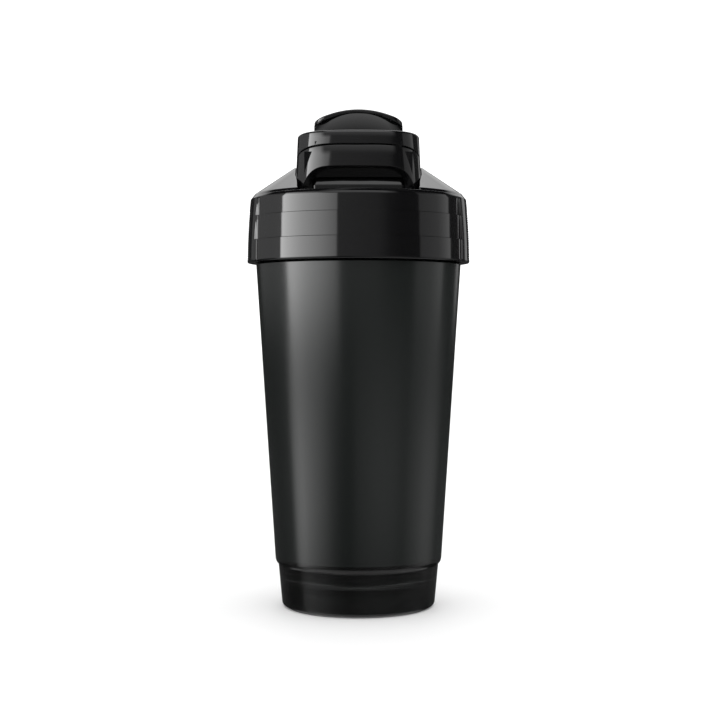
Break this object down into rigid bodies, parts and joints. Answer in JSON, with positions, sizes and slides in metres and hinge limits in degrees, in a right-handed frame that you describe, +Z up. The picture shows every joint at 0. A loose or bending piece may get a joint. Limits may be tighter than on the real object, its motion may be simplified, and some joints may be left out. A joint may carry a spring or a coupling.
{
  "type": "protein shaker bottle",
  "caption": "Tapered shaker cup with a screw lid, flip cap over a drinking spout, carry loop and a mixing sieve under the lid.",
  "frame": {"origin": "middle of the foot ring, on the surface the bottle stands on", "axes": "+Z up along the cup's axis, drinking side towards -Y, hinge towards +Y, +X to the right seen from the front"},
  "size_m": [0.0992, 0.0992, 0.2172],
  "materials": {
    "smoke_plastic": "frosted smoke outside, polished clear foot",
    "gloss_black": "high gloss black",
    "matte_black": "fine matte",
    "soft_seal": "soft matte silicone",
    "pin_steel": "drawn steel rod"
  },
  "bodies": {
    "cup_body": {"cup": "smoke_plastic"},
    "lid_insert": {"mixing_sieve": "matte_black", "lid_gasket": "soft_seal"},
    "lid": {"screw_lid": "gloss_black", "hinge_pin": "pin_steel"},
    "cap": {"flip_cap": "gloss_black", "cap_top_plate": "gloss_black", "spout_seal": "soft_seal"},
    "loop": {"carry_loop": "gloss_black"}
  },
  "joints": [
    {"name": "lid_lift", "type": "slide", "parent": "cup_body", "child": "lid_insert", "axis": [0, 0, 1], "range_m": [0, 0.072]},
    {"name": "lid_turn", "type": "hinge", "parent": "lid_insert", "child": "lid", "pos_m": [0, 0, 0.17], "axis": [0, 0, 1], "range_deg": [0, 2160]},
    {"name": "cap_flip", "type": "hinge", "parent": "lid", "child": "cap", "pos_m": [0, 0.034, 0.1912], "axis": [-1, 0, 0], "range_deg": [0, 100]},
    {"name": "loop_swing", "type": "hinge", "parent": "cap", "child": "loop", "pos_m": [0, 0.034, 0.1912], "axis": [-1, 0, 0], "range_deg": [0, 70]}
  ],
  "couplings": [
    {"joint": "lid_lift", "follows": "lid_turn", "m_per_rad": 0.0019099}
  ]
}
